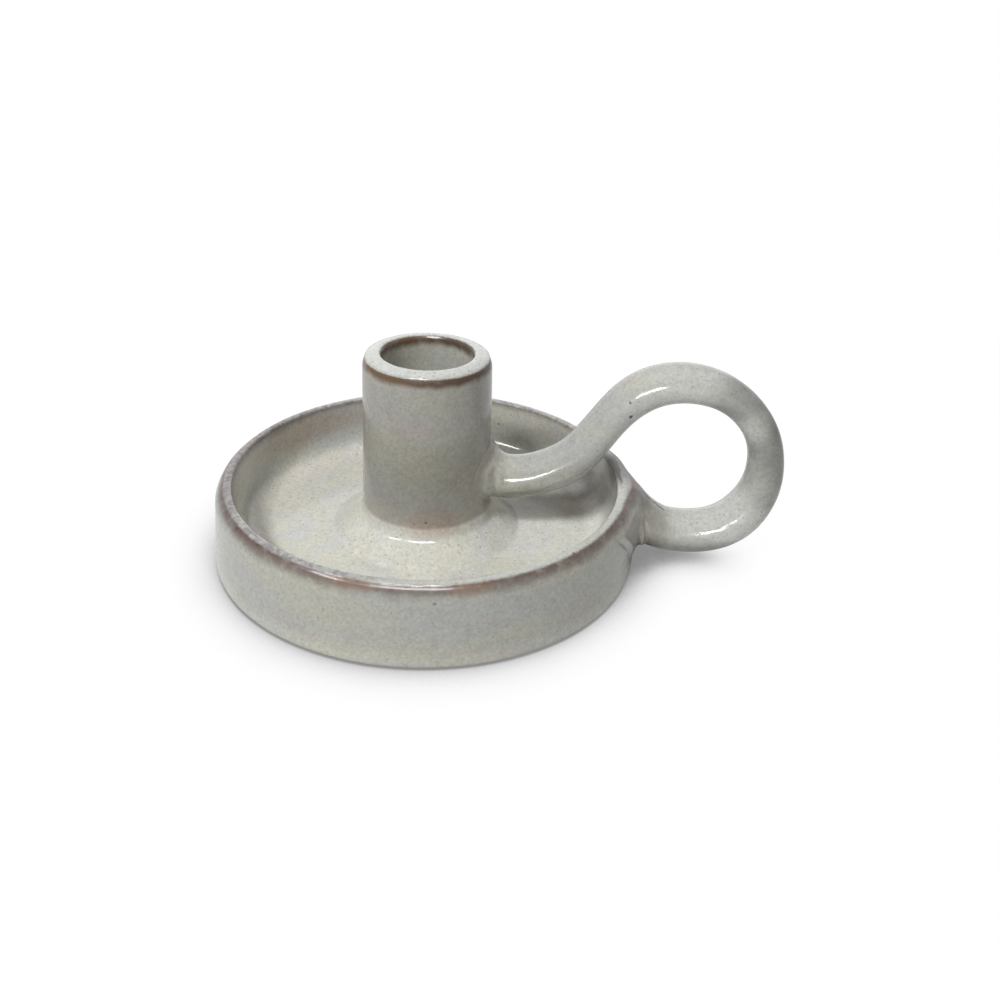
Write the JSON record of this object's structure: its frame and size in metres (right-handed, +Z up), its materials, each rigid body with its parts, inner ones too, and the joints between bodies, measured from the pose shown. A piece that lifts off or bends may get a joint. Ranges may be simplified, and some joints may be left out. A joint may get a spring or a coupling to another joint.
{
  "type": "chamberstick",
  "caption": "Low round glazed stoneware dish with an upright candle socket in its middle and a rolled handle that curls into a finger loop at the wall; stands on a flat base.",
  "frame": {"origin": "centre of the flat base, on the table, on the candle's axis", "axes": "+Z up along the candle's axis, +X from the candle towards the finger loop, +Y to the left of +X"},
  "size_m": [0.147, 0.1108, 0.0548],
  "materials": {
    "glaze": "glossy cream-grey reactive glaze, brown where it breaks over the edges"
  },
  "bodies": {
    "root": {"dish": "glaze", "candle_socket": "glaze", "socket_foot_slip": "glaze", "handle_loop": "glaze", "handle_root_slip": "glaze", "handle_wall_pad": "glaze"}
  },
  "joints": []
}
